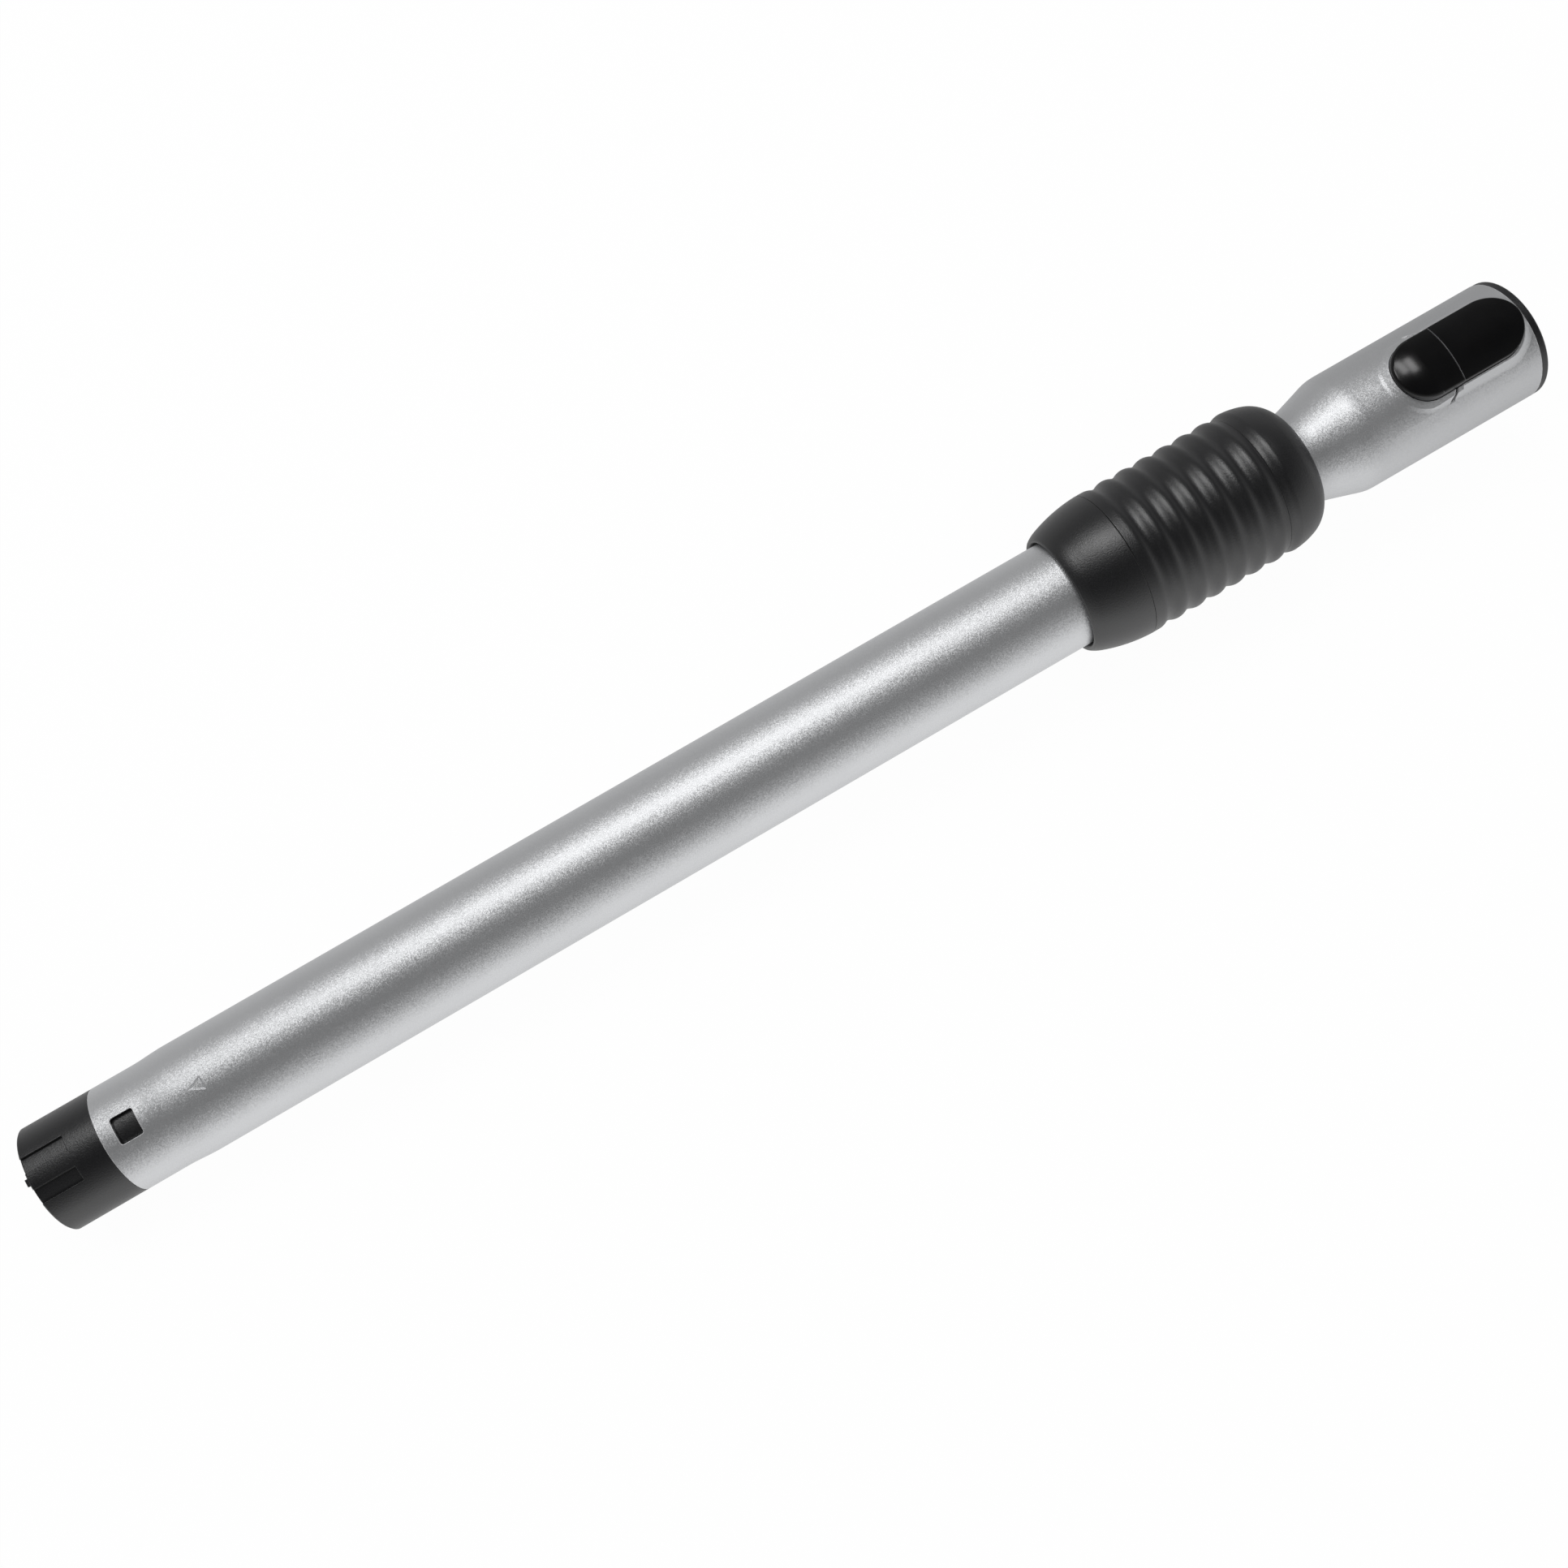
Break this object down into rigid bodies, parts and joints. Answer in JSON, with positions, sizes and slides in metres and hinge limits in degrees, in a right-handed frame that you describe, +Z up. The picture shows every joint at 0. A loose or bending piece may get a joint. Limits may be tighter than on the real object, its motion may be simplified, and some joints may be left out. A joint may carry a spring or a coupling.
{
  "type": "telescopic vacuum cleaner tube",
  "caption": "Telescopic vacuum cleaner tube: silver outer and inner tubes, ribbed sliding lock grip, and a flared socket with a press-button latch.",
  "frame": {"origin": "on the tube's axis, at the front face of the nozzle end", "axes": "+X along the tube from the nozzle end to the socket, +Z up through the latch button, drawn fully retracted"},
  "size_m": [0.5325, 0.0502, 0.0502],
  "materials": {
    "silver_paint": "fine metallic silver paint, satin",
    "black_plastic": "finely grained charcoal plastic",
    "black_gloss": "polished black plastic",
    "bush_plastic": "natural white bearing plastic",
    "seal_rubber": "soft black rubber",
    "grey_felt": "pressed wool felt",
    "bright_steel": "drawn spring steel"
  },
  "bodies": {
    "outer": {"outer_tube": "silver_paint", "end_sleeve": "black_plastic", "grip_nose": "black_plastic", "guide_bush": "bush_plastic", "wiper_seal": "seal_rubber", "stop_ring": "bright_steel", "grip_spring": "bright_steel"},
    "grip": {"grip_sleeve": "black_plastic", "grip_cap": "black_plastic"},
    "roller": {"lock_roller": "bright_steel"},
    "inner": {"inner_tube": "silver_paint", "slide_bush": "bush_plastic", "slide_seal": "grey_felt", "socket_liner": "black_plastic", "socket_seal": "seal_rubber", "latch_cover": "black_gloss", "latch_pin": "bright_steel", "latch_spring": "bright_steel"},
    "button": {"latch_button": "black_gloss"}
  },
  "joints": [
    {"name": "telescope", "type": "slide", "parent": "outer", "child": "inner", "axis": [1, 0, 0], "range_m": [0, 0.3]},
    {"name": "grip_slide", "type": "slide", "parent": "outer", "child": "grip", "axis": [1, 0, 0], "range_m": [0, 0.008], "stiffness_N_per_m": 600, "springref_m": -0.008, "deforming": ["grip_spring"]},
    {"name": "roller_lift", "type": "slide", "parent": "outer", "child": "roller", "axis": [0, 0, -1], "range_m": [0, 0.00181]},
    {"name": "latch_rock", "type": "hinge", "parent": "inner", "child": "button", "pos_m": [0.50101, 0, 0.0203], "axis": [0, -1, 0], "range_deg": [0, 6], "stiffness_Nm_per_rad": 0.3, "springref_deg": -5.73, "deforming": ["latch_spring"]}
  ],
  "couplings": [
    {"joint": "roller_lift", "follows": "grip_slide", "ratio": 0.225}
  ]
}
